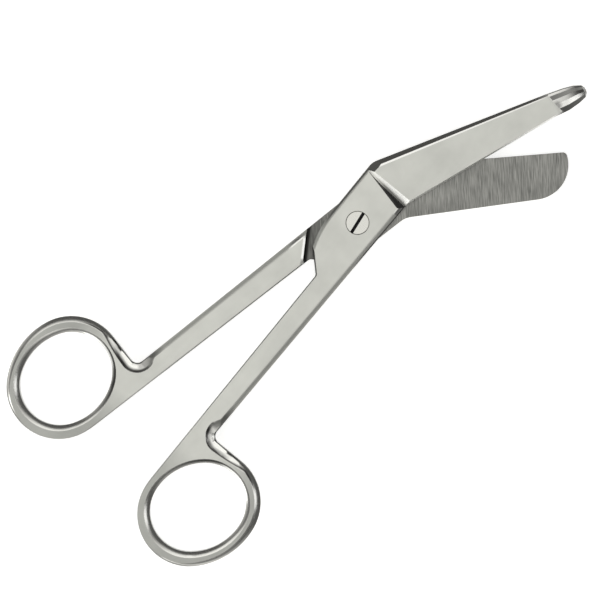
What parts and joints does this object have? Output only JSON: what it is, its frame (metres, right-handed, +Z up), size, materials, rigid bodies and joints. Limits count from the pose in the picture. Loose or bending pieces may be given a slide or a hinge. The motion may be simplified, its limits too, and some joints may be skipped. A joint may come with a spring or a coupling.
{
  "type": "bandage scissors",
  "caption": "Angled bandage scissors: two lapped steel halves on a slotted screw, a long blade with a blunt probe tip, a short blunt blade and oval finger rings.",
  "frame": {"origin": "on the table under the middle of the scissors' box, halves open as in the picture", "axes": "+X along the shut scissors towards the blades, +Y towards the blunt half's ring, +Z up"},
  "size_m": [0.1464, 0.0684, 0.0058],
  "materials": {
    "satin_steel": "satin stainless steel with polished bevels and edges",
    "screw_steel": "ground flush and satin, with a plain screwdriver slot"
  },
  "bodies": {
    "blunt": {"blunt_half": "satin_steel", "pivot_screw": "screw_steel"},
    "probe": {"probe_half": "satin_steel"}
  },
  "joints": [
    {"name": "screw_pivot", "type": "hinge", "parent": "blunt", "child": "probe", "pos_m": [0.01409, -0.00006, 0.0029], "axis": [0, 0, 1], "range_deg": [-13, 90]}
  ]
}
